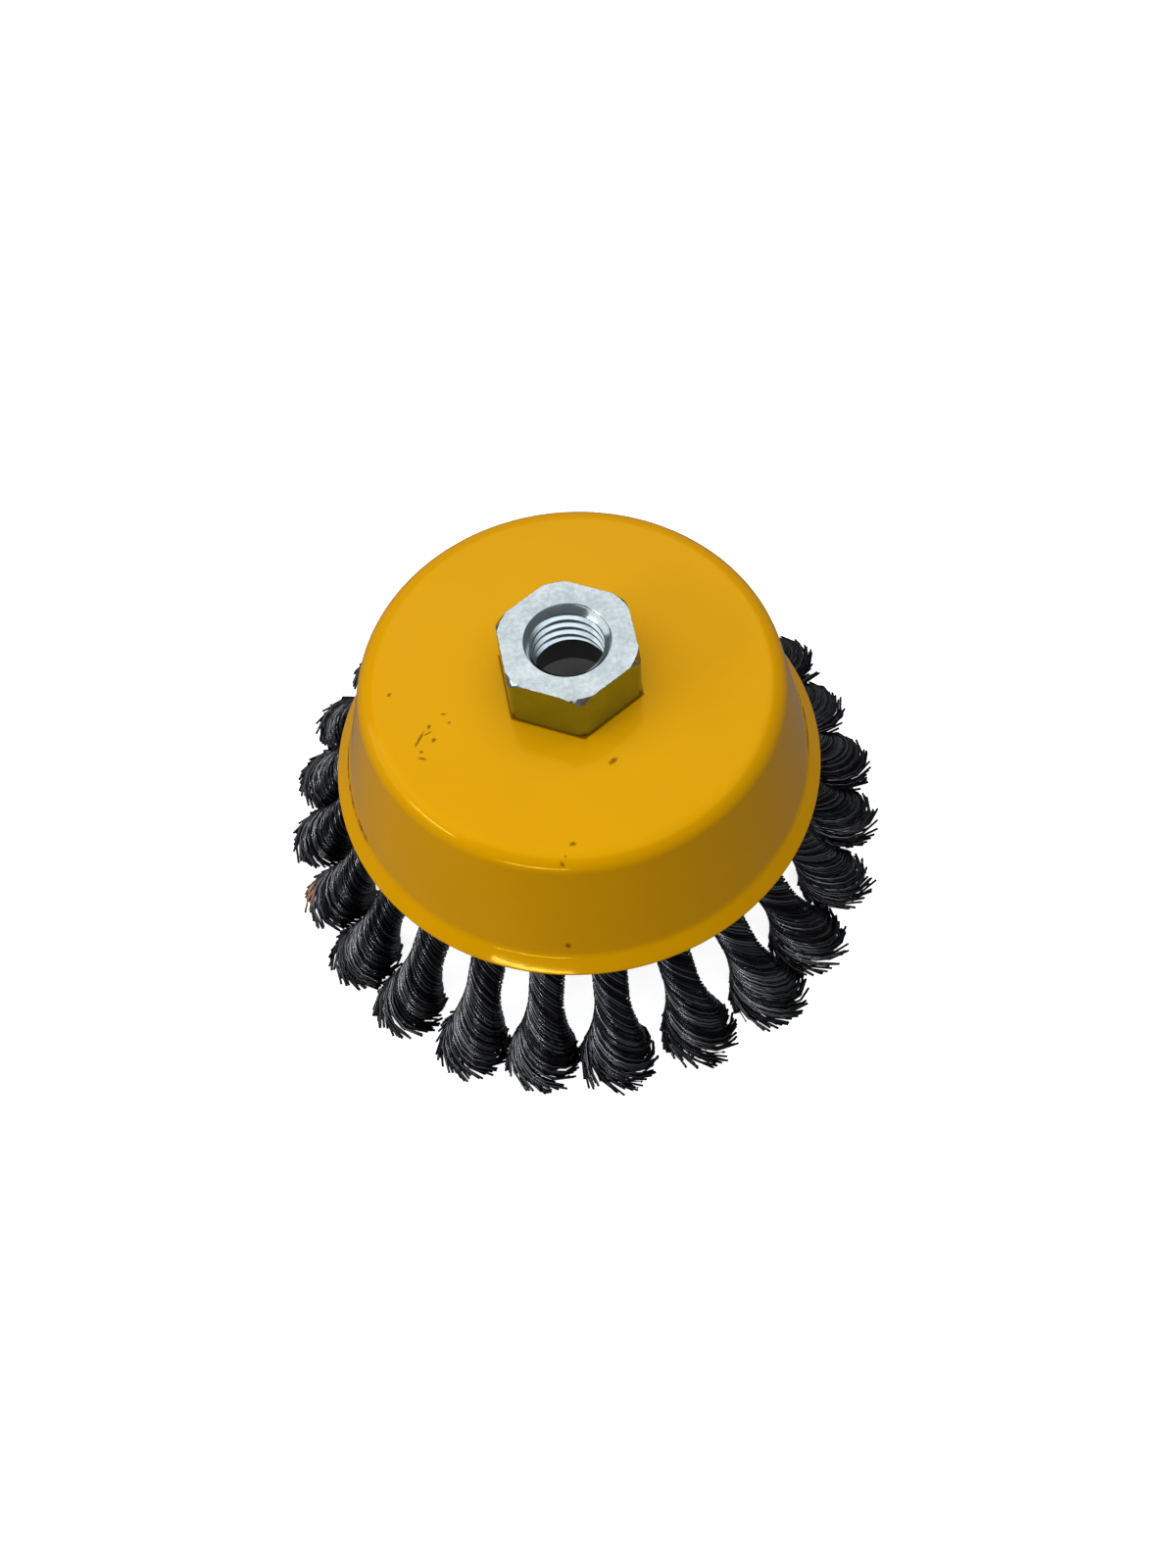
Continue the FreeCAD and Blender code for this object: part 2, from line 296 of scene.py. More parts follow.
for place, length, width, turn in marks:
    local = add_node(tree, "Mapping", {"vector_type": "TEXTURE"}, {
        "Vector": where, "Location": Vector(place) * MM, "Rotation": (0, 0, math.radians(turn)),
        "Scale": (length * MM, width * MM, mark_half_height * MM)})
    far = add_node(tree, "VectorMath", {"operation": "LENGTH"}, {0: local.outputs["Vector"]})
    nearest = add_node(tree, "Math", {"operation": "MINIMUM"}, {
        0: nearest, 1: far.outputs["Value"]}).outputs["Value"]
edge = add_node(tree, "Math", {"operation": "MULTIPLY_ADD"}, {
    0: ragged.outputs["Fac"], 1: raggedness, 2: nearest})
chip = add_node(tree, "MapRange", inputs={
    "Value": edge.outputs["Value"], "From Min": chip_outside, "From Max": chip_inside,
    "To Max": chip_darkness})

# Dark, broken rub marks in a narrow band above the crease of the lip, on the left and on the
# right: (middle, reach), thinning out over the last of the reach
rub_height = 29.0
rub_full, rub_end = 0.2, 0.7
rubbed = [((-44.3, -4.0, rub_height), 14.0), ((45.2, 1.0, rub_height), 11.0)]
rub_fade = 5
rub_darkness = 0.85
height = add_node(tree, "SeparateXYZ", inputs={"Vector": where}).outputs["Z"]
aside = add_node(tree, "Math", {"operation": "SUBTRACT"}, {
    0: height, 1: rub_height * MM}).outputs["Value"]
aside = add_node(tree, "Math", {"operation": "ABSOLUTE"}, {0: aside}).outputs["Value"]
band = add_node(tree, "MapRange", inputs={
    "Value": aside, "From Min": rub_full * MM, "From Max": rub_end * MM,
    "To Min": 1.0, "To Max": 0.0}).outputs["Result"]
breaks = add_node(tree, "TexNoise", inputs={
    "Vector": where, "Scale": 1 / (break_size * MM), "Detail": 4, "Roughness": 0.7})
breaks = add_node(tree, "MapRange", inputs={
    "Value": breaks.outputs["Fac"], "From Min": 0.42, "From Max": 0.50}).outputs["Result"]
rub = add_node(tree, "Math", {"operation": "MULTIPLY"}, {0: band, 1: breaks}).outputs["Value"]
worn = 0.0
for place, reach in rubbed:
    far = add_node(tree, "VectorMath", {"operation": "DISTANCE"}, {
        0: where, 1: Vector(place) * MM}).outputs["Value"]
    area = add_node(tree, "MapRange", inputs={
        "Value": far, "From Min": reach * MM, "From Max": (reach - rub_fade) * MM})
    worn = add_node(tree, "Math", {"operation": "MAXIMUM"}, {
        0: worn, 1: area.outputs["Result"]}).outputs["Value"]
rub = add_node(tree, "Math", {"operation": "MULTIPLY"}, {0: rub, 1: worn}).outputs["Value"]
rub = add_node(tree, "Math", {"operation": "MULTIPLY"}, {
    0: rub, 1: rub_darkness}).outputs["Value"]

# Old grease and painted shade in the seam round the foot of the nut, by how far out a place lies
# from the spindle's axis, measured square to the nut's flats
nut_turn = math.radians(3.0)
nut_half_flats = 12.25
grease_and_shade_inside, grease_and_shade_outside = nut_half_flats + 0.1, nut_half_flats + 0.4
grease_and_shade_darkness = 0.8
out = 0.0
for flat in range(3):
    a = nut_turn + math.radians(60 * flat)
    square = add_node(tree, "VectorMath", {"operation": "DOT_PRODUCT"}, {
        0: where, 1: (math.cos(a), math.sin(a), 0)}).outputs["Value"]
    square = add_node(tree, "Math", {"operation": "ABSOLUTE"}, {0: square}).outputs["Value"]
    out = add_node(tree, "Math", {"operation": "MAXIMUM"}, {0: out, 1: square}).outputs["Value"]
# Painted shade and grease, darkest in the seam at the nut's foot
grease_and_shade = add_node(tree, "MapRange", inputs={
    "Value": out, "From Min": grease_and_shade_outside * MM, "From Max": grease_and_shade_inside * MM,
    "To Max": grease_and_shade_darkness}).outputs["Result"]
dark = chip.outputs["Result"]
for darkening in (rub, grease_and_shade):
    dark = add_node(tree, "Math", {"operation": "MAXIMUM"}, {
        0: dark, 1: darkening}).outputs["Value"]
colour = add_node(tree, "MixRGB", inputs={
    "Fac": dark, "Color1": tint.outputs["Color"], "Color2": linear("#5E2E00")})
tree.links.new(colour.outputs["Color"], surface.inputs["Base Color"])
rough = add_node(tree, "MapRange", inputs={"Value": dark, "To Min": 0.1, "To Max": 0.6})
tree.links.new(rough.outputs["Result"], surface.inputs["Roughness"])
surface.inputs["IOR"].default_value = 1.5
surface.inputs["Specular IOR Level"].default_value = 0.38
surface.inputs["Specular Tint"].default_value = linear("#FFD440")
peel = add_node(tree, "TexNoise", inputs={
    "Vector": where, "Scale": 1 / (peel_size * MM), "Detail": 2})
bump = add_node(tree, "Bump", inputs={
    "Height": peel.outputs["Fac"], "Strength": 0.35, "Distance": coat_relief * MM})
pit = add_node(tree, "Bump", {"invert": True}, {
    "Height": dark, "Strength": 0.2, "Distance": coat_relief * MM,
    "Normal": bump.outputs["Normal"]})
tree.links.new(pit.outputs["Normal"], surface.inputs["Normal"])
cup.data.materials.append(enamel)
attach(cup, "root")
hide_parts("outer_cup")

# ---- Arbor nut ----
# A hexagon of bright zinc-plated steel, turned from bar: chamfered, tapped 5/8-11 and countersunk.
# Its thin spigot goes down through the cup and both plates, and is rolled over below them.
nut_top = 65.8
nut_corner = nut_half_flats / math.cos(math.radians(30))
nut_corner_round = 0.8
nut_edge_round = 0.18
nut_blank = [(11.9, cup_top), (11.9, 54.42), (12.5, 54.46), (nut_corner, 54.9),
             (nut_corner, 64.3), (13.02, nut_top)]
nut_spigot = [(10.0, 55.5), (10.0, 49.4), (12.6, 49.4), (12.6, 48.55), (12.35, 47.95),
              (11.75, 47.7)]
nut_relief = [(8.2, 46.0), (8.2, 55.0), (6.5, 56.13)]
nut_countersink = [(6.5, 64.2), (8.1, nut_top), (9.1, 66.8)]
blank_segments, bore_segments = 144, 96


def combine(piece, tool, operation):
    """Boolean of the piece with a tool, which is used up."""
    step = piece.modifiers.new("cut", "BOOLEAN")
    step.operation = operation
    step.solver = "EXACT"
    step.object = tool
    finish_modifiers(piece)
    bpy.data.objects.remove(tool)


bpy.ops.object.select_all(action="DESELECT")
bpy.ops.mesh.primitive_cylinder_add(
    vertices=6, radius=nut_corner * MM, depth=(nut_top - cup_top) * MM,
    location=(0, 0, (nut_top + cup_top) / 2 * MM), rotation=(0, 0, nut_turn))
nut = bpy.context.object
nut.name = nut.data.name = "hexagonal_nut"
bpy.ops.object.transform_apply()
bpy.ops.object.mode_set(mode="EDIT")
bpy.ops.mesh.select_mode(type="EDGE")
bpy.ops.mesh.select_all(action="DESELECT")
mesh = bmesh.from_edit_mesh(nut.data)
for edge in mesh.edges:
    edge.select_set(abs(edge.verts[0].co.z - edge.verts[1].co.z) > MM)
bmesh.update_edit_mesh(nut.data)
bpy.ops.mesh.bevel(offset=nut_corner_round * MM, segments=4, profile=0.5, affect="EDGES")
bpy.ops.object.mode_set(mode="OBJECT")
combine(nut, turned("blank", nut_blank, blank_segments, solid=True), "INTERSECT")
combine(nut, turned("spigot", nut_spigot, bore_segments, solid=True), "UNION")
combine(nut, turned("relief", nut_relief, bore_segments, solid=True), "DIFFERENCE")
combine(nut, turned("countersink", nut_countersink, bore_segments, solid=True), "DIFFERENCE")

# The six long edges round the top face are cut up, so that the rim can be made ragged below
rim_cuts = 18
rim_inside = 12
shortest_long_edge = 2
bpy.ops.object.mode_set(mode="EDIT")
bpy.ops.mesh.select_all(action="DESELECT")
mesh = bmesh.from_edit_mesh(nut.data)
for edge in mesh.edges:
    ends = [v.co / MM for v in edge.verts]
    on_rim = all(abs(e.z - nut_top) < 0.01 and math.hypot(e.x, e.y) > rim_inside for e in ends)
    edge.select_set(on_rim and edge.calc_length() > shortest_long_edge * MM)
bmesh.update_edit_mesh(nut.data)
bpy.ops.mesh.subdivide(number_cuts=rim_cuts)
bpy.ops.object.mode_set(mode="OBJECT")
edges = nut.modifiers.new("edges", "BEVEL")
edges.width = nut_edge_round * MM
edges.segments = 2
edges.angle_limit = math.radians(24)
finish_modifiers(nut)

# The tap: one pitch of the thread's outline, screwed up along the axis and cut square at the ends
thread_pitch = 2.309
thread_crest = 6.695
thread_root = 7.94
tap_foot = 50.0
tap_turns, tap_steps = 9, 72
tap_ends = [(53.4, -1), (67.4, 1)]
flank = (thread_root - thread_crest) * math.tan(math.radians(30))
land = thread_pitch / 8
tap_outline = [(thread_crest, 0), (thread_crest, thread_pitch - 2 * flank - land),
               (thread_root, thread_pitch - flank - land), (thread_root, thread_pitch - flank),
               (thread_crest, thread_pitch)]
tap_mesh = bpy.data.meshes.new("tap")
tap_mesh.from_pydata([(r * MM, 0, (z + tap_foot) * MM) for r, z in tap_outline],
                     [(i, i + 1) for i in range(len(tap_outline) - 1)], [])
tap = bpy.data.objects.new("tap", tap_mesh)
bpy.context.collection.objects.link(tap)
screw = tap.modifiers.new("thread", "SCREW")
screw.axis = "Z"
screw.screw_offset = thread_pitch * MM
screw.iterations = tap_turns
screw.steps = screw.render_steps = tap_steps
finish_modifiers(tap)
bpy.ops.object.mode_set(mode="EDIT")
bpy.ops.mesh.select_all(action="SELECT")
bpy.ops.mesh.remove_doubles(threshold=0.001 * MM)
for height, outwards in tap_ends:
    bpy.ops.mesh.select_all(action="SELECT")
    bpy.ops.mesh.bisect(plane_co=(0, 0, height * MM), plane_no=(0, 0, outwards),
                        use_fill=True, clear_outer=True, threshold=0.00001 * MM)
bpy.ops.mesh.select_all(action="SELECT")
bpy.ops.mesh.normals_make_consistent(inside=False)
bpy.ops.object.mode_set(mode="OBJECT")
combine(nut, tap, "DIFFERENCE")
smooth(nut, 32)

# The parting tool left the rim of the top face a little ragged, with one curled burr at the front
rim_depth, rim_start = 0.2, 11.9
ragged_out, ragged_up = (-0.06, 0.05), (-0.04, 0.03)
burr = Vector((-1.4, -12.8, nut_top))
burr_reach, burr_out, burr_up = 1.3, 0.5, 0.3
rim_seed = 7
chance = random.Random(rim_seed)
# Each run leaves the corners in another order, so they are taken by angle, height and radius
corners = sorted(nut.data.vertices, key=lambda corner: (
    round(math.atan2(corner.co.y, corner.co.x), 4), round(corner.co.z / MM, 3),
    round(corner.co.xy.length / MM, 3)))
for vertex in corners:
    at = vertex.co / MM
    rim = math.hypot(at.x, at.y)
    if at.z > nut_top - rim_depth and rim > rim_start:
        outward = Vector((at.x, at.y, 0)) / rim
        near = max(1 - (at - burr).length / burr_reach, 0)
        vertex.co += outward * (chance.uniform(*ragged_out) + burr_out * near) * MM
        if at.z < nut_top - 0.01:
            vertex.co.z += (chance.uniform(*ragged_up) + burr_up * near) * MM

# The flat faces stay flat in shading up to their bevelled edges
smallest_flat_face = 20 * MM ** 2
for face in nut.data.polygons:
    outer = math.hypot(face.center.x, face.center.y) > 11.5 * MM or face.normal.z > 0.99
    if face.area > smallest_flat_face and outer:
        for corner in face.loop_indices:
            nut.data.edges[nut.data.loops[corner].edge_index].use_edge_sharp = True

# Zinc plating, bright with a cold blue passivation: a mottled silver, over the faint rings that
# the facing tool left.
plating_mottle, plating_smudge, facing_ring = 0.9, 5.0, 0.69
wave_length = math.pi / 10      # of a wave texture whose scale is 1
zinc, tree, surface = new_material("zinc_plating")
where = add_node(tree, "TexCoord").outputs["Object"]
mottle = add_node(tree, "TexNoise", inputs={
    "Vector": where, "Scale": 1 / (plating_mottle * MM), "Detail": 4, "Roughness": 0.6})
smudge = add_node(tree, "TexNoise", inputs={
    "Vector": where, "Scale": 1 / (plating_smudge * MM), "Detail": 3})
mixed = add_node(tree, "MixRGB", inputs={
    "Fac": 0.45, "Color1": mottle.outputs["Fac"], "Color2": smudge.outputs["Fac"]})
mixed = mixed.outputs["Color"]
tone = add_node(tree, "ValToRGB", inputs={"Fac": mixed})
tone.color_ramp.elements[0].position = 0.38
tone.color_ramp.elements[0].color = linear("#91999A")
tone.color_ramp.elements[1].position = 0.62
tone.color_ramp.elements[1].color = linear("#A8AEAF")
tree.links.new(tone.outputs["Color"], surface.inputs["Base Color"])
surface.inputs["Metallic"].default_value = 1.0
rough = add_node(tree, "MapRange", inputs={
    "Value": mixed, "From Min": 0.35, "From Max": 0.65, "To Min": 0.30, "To Max": 0.20})
tree.links.new(rough.outputs["Result"], surface.inputs["Roughness"])
rings = add_node(tree, "TexWave", {"wave_type": "RINGS", "rings_direction": "Z"}, {
    "Vector": where, "Scale": wave_length / (facing_ring * MM), "Distortion": 0.6, "Detail": 1})
bump = add_node(tree, "Bump", inputs={
    "Height": rings.outputs["Fac"], "Strength": 0.04, "Distance": 0.01 * MM})
tree.links.new(bump.outputs["Normal"], surface.inputs["Normal"])

# Zinc plating in the tapped bore: smoother, and a brighter, bluer copy of the faced top's plating,
# which paints highlights on the thread's flanks (painted highlight).
bore_mottle = 1.5
bore, tree, surface = new_material("zinc_plated_thread")
where = add_node(tree, "TexCoord").outputs["Object"]
mottle = add_node(tree, "TexNoise", inputs={
    "Vector": where, "Scale": 1 / (bore_mottle * MM), "Detail": 2})
tone = add_node(tree, "MixRGB", inputs={
    "Fac": mottle.outputs["Fac"], "Color1": linear("#9AA8AE"), "Color2": linear("#B4C0C5")})
tree.links.new(tone.outputs["Color"], surface.inputs["Base Color"])
surface.inputs["Metallic"].default_value = 1.0
surface.inputs["Roughness"].default_value = 0.16

# Zinc plating on the six drawn flats of the bar: smooth, and a darker, greener copy of the top's
# plating, which paints shade on the upright sides (painted shade).
flats_cloud = 4.0
flats, tree, surface = new_material("zinc_plated_flats")
where = add_node(tree, "TexCoord").outputs["Object"]
cloud = add_node(tree, "TexNoise", inputs={
    "Vector": where, "Scale": 1 / (flats_cloud * MM), "Detail": 2})
tone = add_node(tree, "MixRGB", inputs={
    "Fac": cloud.outputs["Fac"], "Color1": linear("#7E9084"), "Color2": linear("#96A496")})
tree.links.new(tone.outputs["Color"], surface.inputs["Base Color"])
surface.inputs["Metallic"].default_value = 1.0
surface.inputs["Roughness"].default_value = 0.22

# Grinding dust that oil has caught, and painted shade: dull and nearly black. It coats the bore
# below the thread, darkening that recess, and fills the middle of every knot.
dust_clot = 1.2
dust_and_shade, tree, surface = new_material("dust_and_painted_shade")
where = add_node(tree, "TexCoord").outputs["Object"]
clots = add_node(tree, "TexNoise", inputs={
    "Vector": where, "Scale": 1 / (dust_clot * MM), "Detail": 4})
tone = add_node(tree, "MixRGB", inputs={
    "Fac": clots.outputs["Fac"], "Color1": linear("#1C1A18"), "Color2": linear("#35322D")})
tree.links.new(tone.outputs["Color"], surface.inputs["Base Color"])
surface.inputs["Roughness"].default_value = 0.55

nut.data.materials.clear()
for plating in (zinc, bore, flats, dust_and_shade):
    nut.data.materials.append(plating)
on_top, on_thread, on_flats, on_relief = range(4)
# Each face takes its plating from its distance to the axis, its height and how far it faces up
relief_between, relief_below = (8.0, 8.3), 56.0
flats_beyond, flats_facing = 11, 0.3
thread_within, thread_facing = 8.15, 0.95
for face in nut.data.polygons:
    from_axis = math.hypot(face.center.x, face.center.y) / MM
    in_relief = relief_between[0] < from_axis < relief_between[1]
    face.material_index = on_top
    if in_relief and face.center.z < relief_below * MM:
        face.material_index = on_relief
    elif from_axis > flats_beyond and abs(face.normal.z) < flats_facing:
        face.material_index = on_flats
    elif from_axis < thread_within and face.normal.z < thread_facing:
        face.material_index = on_thread
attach(nut, "root")
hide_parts("arbor_nut")

# ---- Knot holder and retaining plate ----
# Two dished plates of plain steel inside the cup, pressed and drilled.
# The holder carries the wire through its holes; the plate below keeps the knots out against the
# cup. Both keep the shape that they have in the CAD model.

# Mild steel, pressed and left oily: a dull grey, stained dark, with a fine grain.
press_stain, press_grain = 8.0, 0.6
pressed, tree, surface = new_material("oiled_pressed_steel")
where = add_node(tree, "TexCoord").outputs["Object"]
stains = add_node(tree, "TexNoise", inputs={
    "Vector": where, "Scale": 1 / (press_stain * MM), "Detail": 5})
tone = add_node(tree, "MixRGB", inputs={
    "Fac": stains.outputs["Fac"], "Color1": linear("#4C4A48"), "Color2": linear("#8C8A88")})
tree.links.new(tone.outputs["Color"], surface.inputs["Base Color"])
surface.inputs["Metallic"].default_value = 1.0
surface.inputs["Roughness"].default_value = 0.42
grain = add_node(tree, "TexNoise", inputs={
    "Vector": where, "Scale": 1 / (press_grain * MM), "Detail": 2})
bump = add_node(tree, "Bump", inputs={
    "Height": grain.outputs["Fac"], "Strength": 0.2, "Distance": 0.02 * MM})
tree.links.new(bump.outputs["Normal"], surface.inputs["Normal"])
for name in ("knot_holder", "retaining_plate"):
    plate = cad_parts[name]
    plate.data.materials.clear()
    plate.data.materials.append(pressed)

# ---- Wire knots ----
# Each knot is a bundle of 0.5 mm oil-tempered steel wire, looped through the holder and over its
# edge, then twisted hard into a rope. Below the cup the twist is left open, and the trimmed ends
# spring out into a swirl.
knot_count = 24
lean = math.radians(28.64)
tip_circle = 55.0
neck_top, neck_r = 43.5, 3.35
leg_r = 2.0
loop_middle, loop_half_height, loop_half_width = 48.05, 3.55, 3.2
flare_length, flare_r = 15.0, 7.5
twist_pitch = 21.5
wire_r = 0.25
wire_sunk = 0.1            # the outer wires' centres, below the surface of the twisted bundle
level_height = 1.5         # the cut ends lie level up to here, and tilt with the knot above it
knot_seed = 100

# Wires that show: (how many, how high up they start, how far out they lie as a share of the
# bundle). The outer ones run down from the neck, the fringe lies between them in the flare, and
# the inner ones fill its mouth.
outer_wires, outer_start, outer_share = 25, neck_top, (0.98, 1.03)
fringe_wires, fringe_start, fringe_share = 38, (11, 14), (0.93, 1.05)
inner_wires, inner_start, inner_share = 60, (5.5, 7.0), 0.95
loop_circles = [(9, 1.7), (3, 0.7)]      # wires in a loop, on circles of these radii

# Straight lengths that each wire is drawn with: along the rope, along the flare, along an end of
# the inside, and round a corner of the loop
neck_steps, flare_steps, end_steps, corner_steps = 18, 10, 4, 4

# The wires inside a knot are too packed to tell apart: a dark core of oily grinding dust stands
# for them and for the shade between them (painted shade), this far under the outer ones, with a
# ring of points at each of these heights, so many degrees apart
core_depth = 0.5
core_heights = [43.0, 41.5, 40.0, 34.0, 28.0, 21.0, 15.0, 12.0, 9.5, 7.5, 5.5, 4.0, 3.0]
core_angle = 15

# How far the flare of a knot lies from its even place, (outwards, along the ring), read off the
# photo; the others get a chance sway of up to this much
sways = {1: (-1, 4), 2: (-0.9, 3.7), 3: (1.4, 2.7), 4: (1.9, 2.4), 10: (1.6, -2.6), 11: (0.9, -3),
         12: (-0.6, -3.6), 13: (-1, -3.7), 14: (-1.6, -2.9), 15: (-0.6, -2.4), 16: (-0.1, -2.3),
         17: (0.7, -1), 18: (-0.3, -1.3), 19: (-0.1, -0.8), 20: (-0.7, 1.9), 21: (0.2, 3.9),
         22: (-0.9, 3.9), 23: (-1.3, 4.6), 24: (-1.9, 4.9)}
sway_out, sway_along = 0.6, 0.8

# How much the knots differ, as shares of the twist's pitch and of the flare's radius
pitch_range, flare_range = (0.93, 1.07), (0.96, 1.04)

# How a wire strays from its even place: angles about the knot's axis in radians, then how far it
# lifts off the others, and the few that lift clear of them
slip = 0.06
swirl_range = (0.35, 0.85)
lift_range, stray_lift, stray_share = (-0.2, 0.25), (0.7, 1.5), 0.03

# Where a wire ends: the height that the twist lets go of it, up to side_fan more at the sides of
# the flare, and how far from the floor it is trimmed
free_range = (0.5, 1.1)
side_height, side_fan, side_range = 3, 3.2, (-0.6, 1.0)
floor_gap, trim_spread = 0.05, 0.2
longest_end, least_drop = 1.6, 0.2

# How deep the short wires lie where the flare begins, under the outer ones
root_depth = 0.55

# A single wire that arches clear of its flare: knot to (angle about the knot's axis, lift)
arched = {12: (-1.0, 2.2)}
arch_swirl = 0.5


def open_out(along):
    """How far the flare has opened, from 0 at its root to 1 at the tips, like a trumpet's bell."""
    return (1 - min(max(along, 0) / flare_length, 1)) ** 1.5


def bundle_radius(along, flare):
    """Radius of the circle that the outer wires' centres lie on."""
    shoulder = max(min((neck_top - along) / neck_r, 1), 0)
    base = leg_r + (neck_r - leg_r) * math.sqrt(shoulder) - wire_sunk
    return base + (flare - base) * open_out(along)


def knot_point(along, radius, angle, sway):
    """A point of the knot on the +X side: up its axis, and at a radius and angle about it."""
    tilt = lean * min(max(along, 0) / flare_length, 1)
    x = radius * math.cos(angle)
    share = max(1 - along / neck_top, 0) ** 1.5
    r = tip_circle - along * math.sin(lean) + x * math.cos(tilt) + sway[0] * share
    z = along * math.cos(lean) + x * math.sin(tilt) * min(max(along, 0) / level_height, 1)
    return Vector((r, radius * math.sin(angle) + sway[1] * share, z))


def knot_paths(number):
    """Centre lines of a knot's wires as (points, closed), and the rings of points of its core."""
    chance = random.Random(knot_seed + number)
    by_chance = (chance.uniform(-sway_out, sway_out), chance.uniform(-sway_along, sway_along))
    sway = sways.get(number, by_chance)
    pitch = twist_pitch * chance.uniform(*pitch_range)
    flare = flare_r * chance.uniform(*flare_range)
    phase = chance.uniform(0, 2 * math.pi)
    paths = []
    for k in range(outer_wires + fringe_wires + inner_wires):
        outer = k < outer_wires
        fringe = outer_wires <= k < outer_wires + fringe_wires
        if outer:
            start = outer_start
            share = chance.uniform(*outer_share)
            spot = k / outer_wires
        elif fringe:
            start = chance.uniform(*fringe_start)
            share = chance.uniform(*fringe_share)
            spot = (k - outer_wires + 0.5) / fringe_wires
        else:
            start = chance.uniform(*inner_start)
            share = inner_share * math.sqrt(chance.random())
            spot = chance.random()
        spot = phase + 2 * math.pi * spot + chance.uniform(-slip, slip)
        swirl = chance.uniform(*swirl_range)
        stray = chance.random() < stray_share
        lift = chance.uniform(*(stray_lift if stray else lift_range))
        if number in arched and k == outer_wires:
            angle, lift = arched[number]
            spot, swirl = angle - arch_swirl, arch_swirl
        # The ends at the sides of the flare fan out and stop short of the others
        side = abs(math.sin(spot - 2 * math.pi * side_height / pitch + swirl * 0.5))
        free = chance.uniform(*free_range)
        if outer or fringe:
            free += max(chance.uniform(*side_range), 0) * side_fan * side ** 2
        end = wire_r + floor_gap + abs(chance.gauss(0, trim_spread))
        places = []
        if outer:
            places = [start + (flare_length - start) * j / neck_steps for j in range(neck_steps)]
        top = min(start, flare_length)
        steps = flare_steps if outer or fringe else end_steps
        places += [top + (free - top) * j / steps for j in range(steps + 1)]
        points = []
        for along in places:
            opened = open_out(along)
            radius = bundle_radius(along, flare) * (1 + (share - 1) * opened if outer else share)
            if not outer:
                radius -= root_depth * (1 - opened) ** 4 * share
            radius += lift * opened ** 3
            angle = spot - 2 * math.pi * along / pitch + swirl * opened ** 1.5
            points.append(knot_point(along, radius, angle, sway))
        # The free end runs straight on from where the twist lets it go, down to its own length
        ahead = (points[-1] - points[-2]).normalized()
        reach = min((points[-1].z - end) / max(-ahead.z, least_drop), longest_end)
        for half in range(2):
            points.append(points[-1] + ahead * reach / 2)
        paths.append((points, False))
    core = [[knot_point(along, bundle_radius(along, flare) - core_depth, math.radians(angle), sway)
             for angle in range(0, 360, core_angle)] for along in core_heights]
    for count, spread in loop_circles:
        for k in range(count):
            turn = 2 * math.pi * k / count
            inset, aside = spread * math.cos(turn), spread * math.sin(turn)
            points = []
            for corner, (side_x, side_z) in enumerate([(1, 1), (-1, 1), (-1, -1), (1, -1)]):
                for j in range(corner_steps):
                    a = math.pi / 2 * (corner + (j + 0.5) / corner_steps)
                    across = side_x * (loop_half_width - leg_r) + (leg_r + inset) * math.cos(a)
                    height = side_z * (loop_half_height - leg_r) + (leg_r + inset) * math.sin(a)
                    along = loop_middle + height
                    r = tip_circle - along * math.sin(lean) + across * math.cos(lean)
                    z = along * math.cos(lean) + across * math.sin(lean)
                    points.append(Vector((r, aside, z)))
            paths.append((points, True))
    return paths, core


# Spring steel, drawn and tempered in oil: nearly black, with thin, bright streaks along its round
# sides. Each wire has a tone of its own.
wire, tree, surface = new_material("oil_tempered_wire")
each = add_node(tree, "NewGeometry").outputs["Random Per Island"]
shade = add_node(tree, "ValToRGB", inputs={"Fac": each})
shade.color_ramp.elements[0].color = linear("#1C1C1F")
shade.color_ramp.elements[1].color = linear("#7C7D80")
shade.color_ramp.elements.new(0.3).color = linear("#2E2E31")
shade.color_ramp.elements.new(0.5).color = linear("#525356")
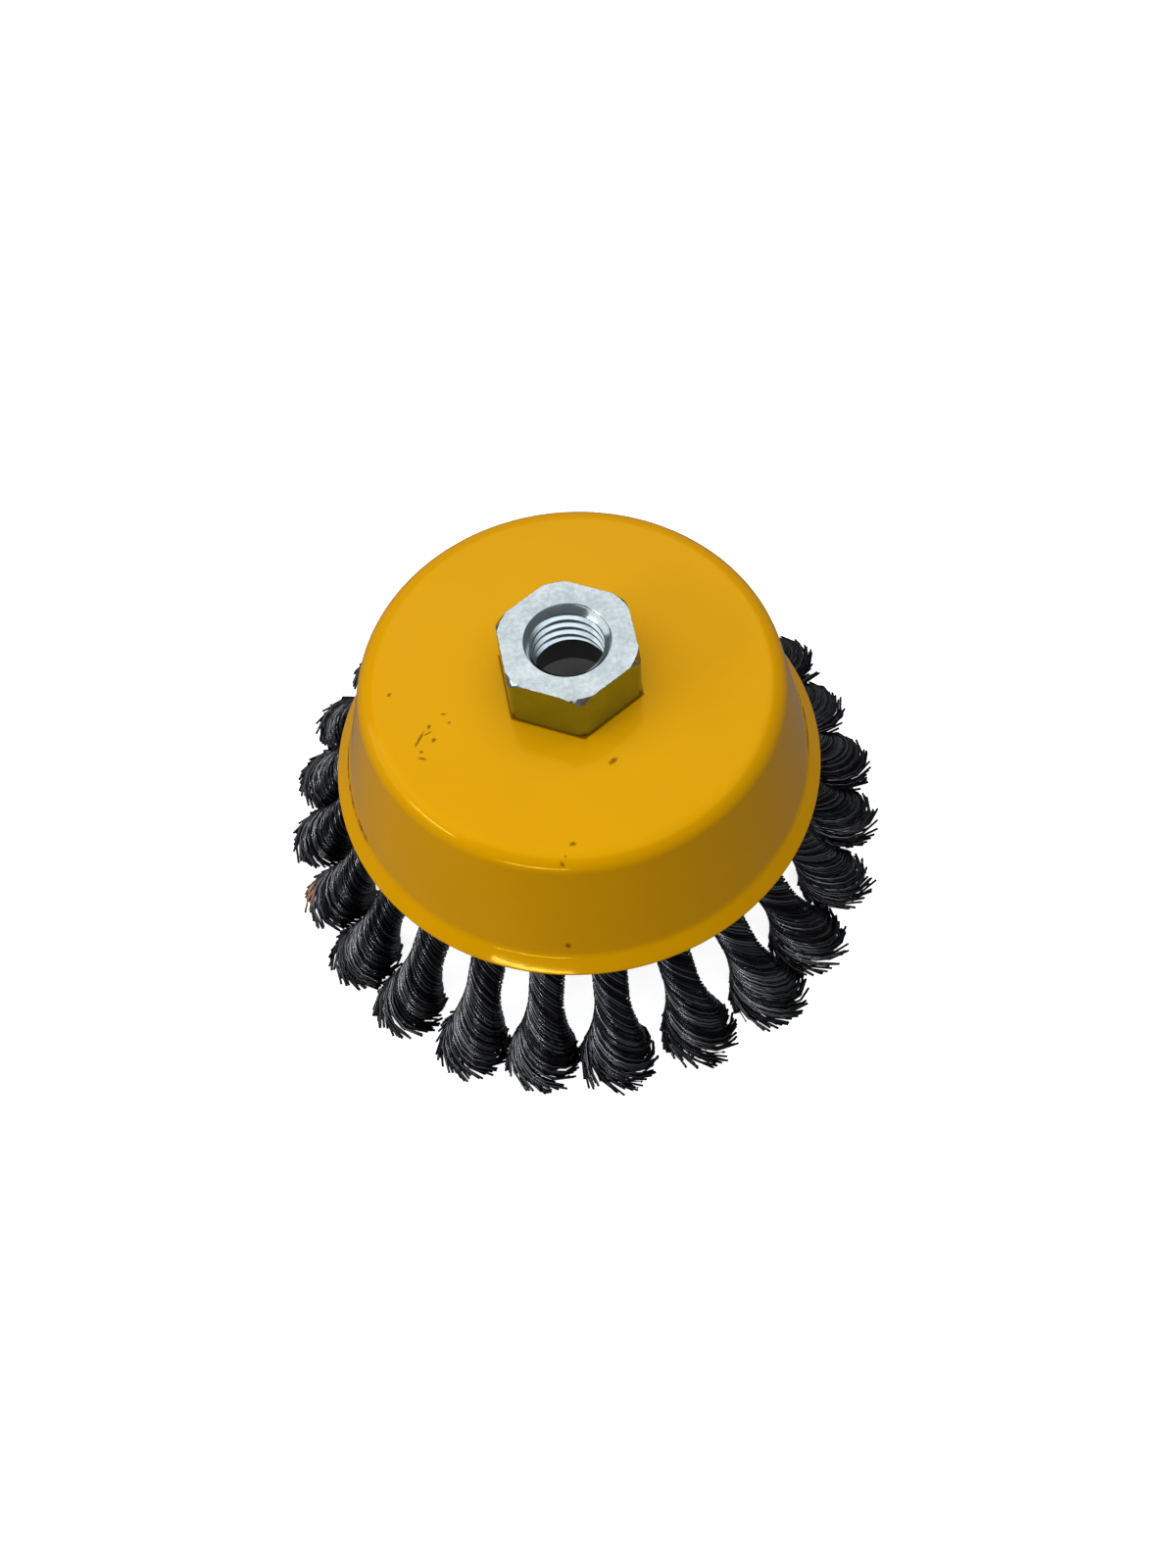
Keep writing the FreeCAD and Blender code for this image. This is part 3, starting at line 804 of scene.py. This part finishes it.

# The wires darken towards their ends at the bottom, and a few at the left have rusted
darker_from, darker_full, darker_share = 7.0, 1.0, 0.75
rusty_place = (-59.4, -9.6, 2.0)
rust_from, rust_full, rust_share = 3.8, 2.0, 0.9
where = add_node(tree, "TexCoord").outputs["Object"]
height = add_node(tree, "SeparateXYZ", inputs={"Vector": where}).outputs["Z"]
# Darker towards the bottom of the wires, near the floor
low_darkening = add_node(tree, "MapRange", inputs={
    "Value": height, "From Min": darker_from * MM, "From Max": darker_full * MM,
    "To Max": darker_share})
shade = add_node(tree, "MixRGB", inputs={
    "Fac": low_darkening.outputs["Result"], "Color1": shade.outputs["Color"],
    "Color2": linear("#161514")})
far = add_node(tree, "VectorMath", {"operation": "DISTANCE"}, {
    0: where, 1: Vector(rusty_place) * MM})
rust = add_node(tree, "MapRange", inputs={
    "Value": far.outputs["Value"], "From Min": rust_from * MM, "From Max": rust_full * MM,
    "To Max": rust_share})
shade = add_node(tree, "MixRGB", inputs={
    "Fac": rust.outputs["Result"], "Color1": shade.outputs["Color"],
    "Color2": linear("#96755F")})
tree.links.new(shade.outputs["Color"], surface.inputs["Base Color"])
surface.inputs["Metallic"].default_value = 1.0
surface.inputs["Roughness"].default_value = 0.2

for number in range(1, knot_count + 1):
    name = f"twisted_knot_{number:02d}"
    place_in_ring = Matrix.Rotation(2 * math.pi * (number - 1) / knot_count, 4, "Z")
    curve = bpy.data.curves.new(name, "CURVE")
    curve.dimensions = "3D"
    curve.bevel_depth = wire_r * MM
    curve.bevel_resolution = 1
    curve.use_fill_caps = True
    paths, core = knot_paths(number)
    for points, closed in paths:
        spline = curve.splines.new("POLY")
        spline.points.add(len(points) - 1)
        spline.use_cyclic_u = closed
        for j, point in enumerate(points):
            spline.points[j].co = (*(place_in_ring @ (point * MM)), 1)
    knot = bpy.data.objects.new(name, curve)
    bpy.context.collection.objects.link(knot)
    bpy.ops.object.select_all(action="DESELECT")
    knot.select_set(True)
    bpy.context.view_layer.objects.active = knot
    bpy.ops.object.convert(target="MESH")
    knot = bpy.context.object
    knot.data.name = name
    bpy.ops.object.mode_set(mode="EDIT")
    bpy.ops.mesh.select_all(action="SELECT")
    bpy.ops.mesh.remove_doubles(threshold=0.0001 * MM)
    bpy.ops.object.mode_set(mode="OBJECT")
    knot.data.materials.append(wire)
    knot.data.materials.append(dust_and_shade)
    # The core, a painted shade, is lofted through its rings and closed at both ends
    mesh = bmesh.new()
    mesh.from_mesh(knot.data)
    rings = [[mesh.verts.new(place_in_ring @ (point * MM)) for point in ring] for ring in core]
    sides = [(upper[j], upper[j - 1], lower[j - 1], lower[j])
             for upper, lower in zip(rings, rings[1:]) for j in range(len(upper))]
    for corners in sides + [rings[0], rings[-1][::-1]]:
        face = mesh.faces.new(corners)
        face.material_index = 1
        face.smooth = True
    mesh.to_mesh(knot.data)
    mesh.free()
    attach(knot, "root")
    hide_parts(f"wire_knot_{number:02d}")
